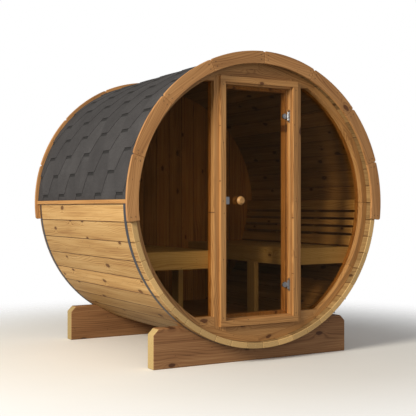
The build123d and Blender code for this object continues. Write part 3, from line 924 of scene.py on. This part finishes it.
for name, source, body, slot, material, bevel in (
    ("steel_hoop_front", "hoop_front", "sauna", "hoop_steel", hoop_steel, 0.0005),
    ("steel_hoop_rear", "hoop_rear", "sauna", "hoop_steel", hoop_steel, 0.0005),
    ("tension_bolts", "hoop_bolts", "sauna", "hoop_steel", hoop_steel, 0.0008),
    ("frame_hinge_plates", "hinge_plates", "sauna", "hinge_steel", hinge_steel, 0.0004),
    ("glass_hinge_clamps", "hinge_clamps", "door", "hinge_steel", hinge_steel, 0.0005),
    ("catch_angle", "catch_plate", "door", "hinge_steel", hinge_steel, 0.0004),
    ("catch_block", "catch_magnet", "sauna", "catch_plastic", catch_plastic, 0.0005),
    ("pane_left", "window_left", "sauna", "window_glass", pane_glass, 0.0005),
    ("pane_right", "window_right", "sauna", "window_glass", pane_glass, 0.0005),
    ("door_leaf", "door_glass", "door", "door_glass", leaf_glass, 0.001),
):
    make_fitting(name, source, body, slot, material, bevel)

# %% [markdown]
# ## Knobs
# A knob is turned, so it has no edges to soften, and it is shaded smooth up to a wide angle.

# %% Finish the knobs
knobs = copy_of("door_knobs")
lay_grain(knobs, "YX", 90)
finish_piece("turned_knobs", knobs, "door", "knob_wood", knob_wood, stands_for="door_knobs", smooth=40)

# %% [markdown]
# ## Screws
# Boards are fixed with small countersunk screws that have darkened. One head is a disc whose top is
# inset and pushed in for the driver. It is made at each place that needs one: two at each end of an
# arch board, and a row up each side trim of the door.

# %% Drive the screws
SCREW_R = 0.0042
SCREW_T = 0.0012
SCREW_STEP = 0.016
SCREW_TURN = 1.6
TRIM_SCREWS = 5
TRIM_SCREW_IN = 0.020


def add_screw(work, place, facing):
    turn = UP.rotation_difference(facing).to_matrix().to_4x4()
    matrix = Matrix.Translation(place) @ turn
    made = bmesh.ops.create_cone(
        work, cap_ends=True, segments=12, radius1=SCREW_R, radius2=SCREW_R * 0.9, depth=SCREW_T, matrix=matrix
    )
    top = max((f for v in made["verts"] for f in v.link_faces), key=lambda f: f.normal.dot(facing))
    bmesh.ops.inset_region(work, faces=[top], thickness=SCREW_R * 0.5)
    bmesh.ops.translate(work, verts=top.verts, vec=-facing * 0.0008)


def screw_arch(work, end, out):
    arch = bmesh.new()
    arch.from_mesh(bpy.data.objects[f"arch_boards_{end}"].data)
    for board in islands(arch):
        turns = [math.degrees(math.atan2(v.co.x, v.co.z - AXIS_Z)) for v in board]
        radii = [(v.co - AXIS).xz.length for v in board]
        face_y = max(v.co.y * out for v in board) * out
        middle_r = (min(radii) + max(radii)) / 2
        for turn in (min(turns) + SCREW_TURN, max(turns) - SCREW_TURN):
            for step in (-SCREW_STEP, SCREW_STEP):
                add_screw(work, point_round(middle_r + step, turn, face_y), BACK * out)
    arch.free()


def screw_trims(work):
    low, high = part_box("door_side_trims")
    step = (high.z - low.z - 2 * TRIM_SCREW_IN) / (TRIM_SCREWS - 1)
    for x in (low.x + TRIM_SCREW_IN, high.x - TRIM_SCREW_IN):
        for number in range(TRIM_SCREWS):
            add_screw(work, Vector((x, low.y, low.z + TRIM_SCREW_IN + step * number)), -BACK)


screws = bmesh.new()
screw_arch(screws, "front", -1)
screw_arch(screws, "rear", 1)
screw_trims(screws)
bmesh.ops.recalc_face_normals(screws, faces=screws.faces)
finish_piece("screws", screws, "sauna", "hoop_steel", screw_steel)

# %% [markdown]
# ## Floor
# A plain pale floor that fades into a white surround, so that no horizon shows. It looks pale to the
# camera, but it bounces only part of the light, or the underside of the barrel would glow.

# %% A pale floor
FLOOR_SIZE = 60
FADE_FROM = 1.5
FADE_TO = 3.7


def make_floor():
    bpy.ops.mesh.primitive_plane_add(size=FLOOR_SIZE)
    ground = bpy.context.object
    ground.name = "studio_floor"
    material, tree, shader = start_material("studio_floor")
    place = object_place(tree)
    pale = colour_ramp(tree, noise(tree, place, 2.0), ((0, (0.93, 0.93, 0.93)), (1, (0.96, 0.96, 0.96))))
    seen = tree.nodes.new("ShaderNodeLightPath").outputs["Is Camera Ray"]
    set_colour(tree, shader, mix_colour(tree, seen, (0.42, 0.41, 0.40, 1), pale))
    shader.inputs["Roughness"].default_value = 0.9
    away = add_node(tree, "ShaderNodeVectorMath", {0: place}, operation="LENGTH").outputs["Value"]
    inputs = {"Value": away, "From Min": FADE_FROM, "From Max": FADE_TO}
    fade = add_node(tree, "ShaderNodeMapRange", inputs, interpolation_type="SMOOTHSTEP").outputs["Result"]
    open_air = tree.nodes.new("ShaderNodeBsdfTransparent")
    cover = add_node(tree, "ShaderNodeMixShader", {0: fade, 1: shader.outputs[0], 2: open_air.outputs[0]})
    tree.links.new(cover.outputs[0], tree.nodes["Material Output"].inputs["Surface"])
    ground.data.materials.append(material)


make_floor()
print("floor made")

# %% [markdown]
# ## Light
# One large warm light stands to the left, so the left side is bright and the front stays in soft
# shade. A weak fill keeps the front readable. The world lights the object dimly but looks white.

# %% Light the scene
def add_light(name, place, size, power, colour):
    light = bpy.data.lights.new(name, "AREA")
    light.shape = "DISK"
    light.size = size
    light.energy = power
    light.color = colour
    lamp = bpy.data.objects.new(name, light)
    scene.collection.objects.link(lamp)
    lamp.location = place
    lamp.rotation_euler = (UP - Vector(place)).to_track_quat("-Z", "Y").to_euler()


def make_world():
    world = bpy.data.worlds.new("studio")
    scene.world = world
    world.use_nodes = True
    sky = world.node_tree
    glow = sky.nodes["Background"]
    glow.inputs["Color"].default_value = (1.0, 0.985, 0.96, 1)
    glow.inputs["Strength"].default_value = 0.33
    white = add_node(sky, "ShaderNodeBackground", {"Color": (1, 1, 1, 1), "Strength": 1.0})
    seen = sky.nodes.new("ShaderNodeLightPath").outputs["Is Camera Ray"]
    either = add_node(sky, "ShaderNodeMixShader", {0: seen, 1: glow.outputs[0], 2: white.outputs[0]})
    sky.links.new(either.outputs[0], sky.nodes["World Output"].inputs["Surface"])


make_world()
add_light("key", (-9.0, -3.2, 4.8), 3.0, 1080, (1.0, 0.92, 0.77))
add_light("fill", (-3.4, -7.2, 3.0), 3.0, 60, (1.0, 0.95, 0.88))
scene.view_settings.view_transform = "Standard"

# %% [markdown]
# ## Camera
# The camera stands in front and to the left, at about the height of the barrel's axis. It is within a
# tenth of a degree of level, which keeps the upright boards parallel, and a long lens keeps the
# perspective gentle.

# %% Place the camera
camera_data = bpy.data.cameras.new("camera")
camera_data.lens = 74.62
camera_data.sensor_width = 36
camera_data.shift_y = -0.0048
camera = bpy.data.objects.new("camera", camera_data)
scene.collection.objects.link(camera)
camera.location = (-3.2596, -5.7885, 1.0559)
camera.rotation_euler = (math.radians(90.098), 0, math.radians(-29.845))
scene.camera = camera
print("camera:", camera_data.lens, "mm lens")
